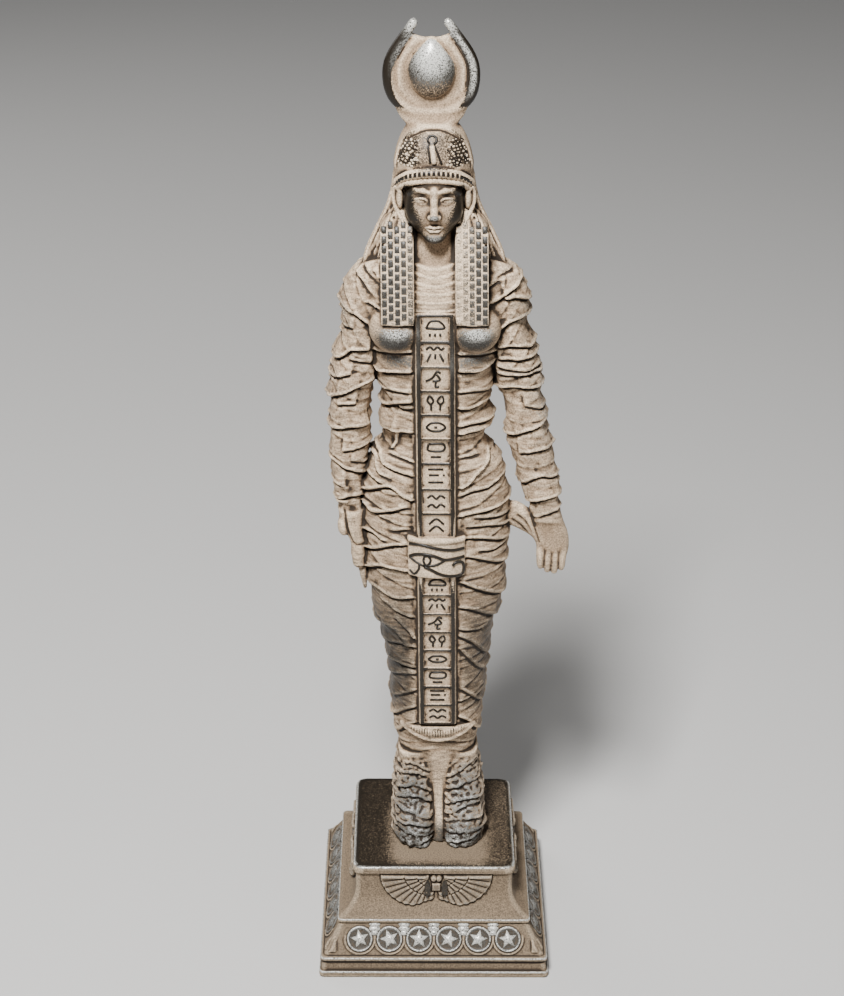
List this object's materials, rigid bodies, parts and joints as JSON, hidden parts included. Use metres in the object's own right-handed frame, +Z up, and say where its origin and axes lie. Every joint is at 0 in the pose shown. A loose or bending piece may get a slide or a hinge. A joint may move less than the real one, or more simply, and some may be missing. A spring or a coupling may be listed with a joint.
{
  "type": "goddess statue",
  "caption": "Wrapped standing goddess figure with a horned disc crown and an inscribed front band, on a stepped square plinth with friezes.",
  "frame": {"origin": "centre of the plinth's flat underside, which rests on the ground", "axes": "+Z up through the figure, the figure faces -Y, +X towards the viewer's right"},
  "size_m": [0.0769, 0.0728, 0.3],
  "materials": {
    "figure_resin": "dark graphite-brown cast resin, satin on the rubbed high spots, with a matt brown dust wash in the folds",
    "plinth_resin": "dark graphite-brown cast resin, satin, with a brown wash in the recesses"
  },
  "bodies": {
    "root": {"figure": "figure_resin", "plinth": "plinth_resin"}
  },
  "joints": []
}
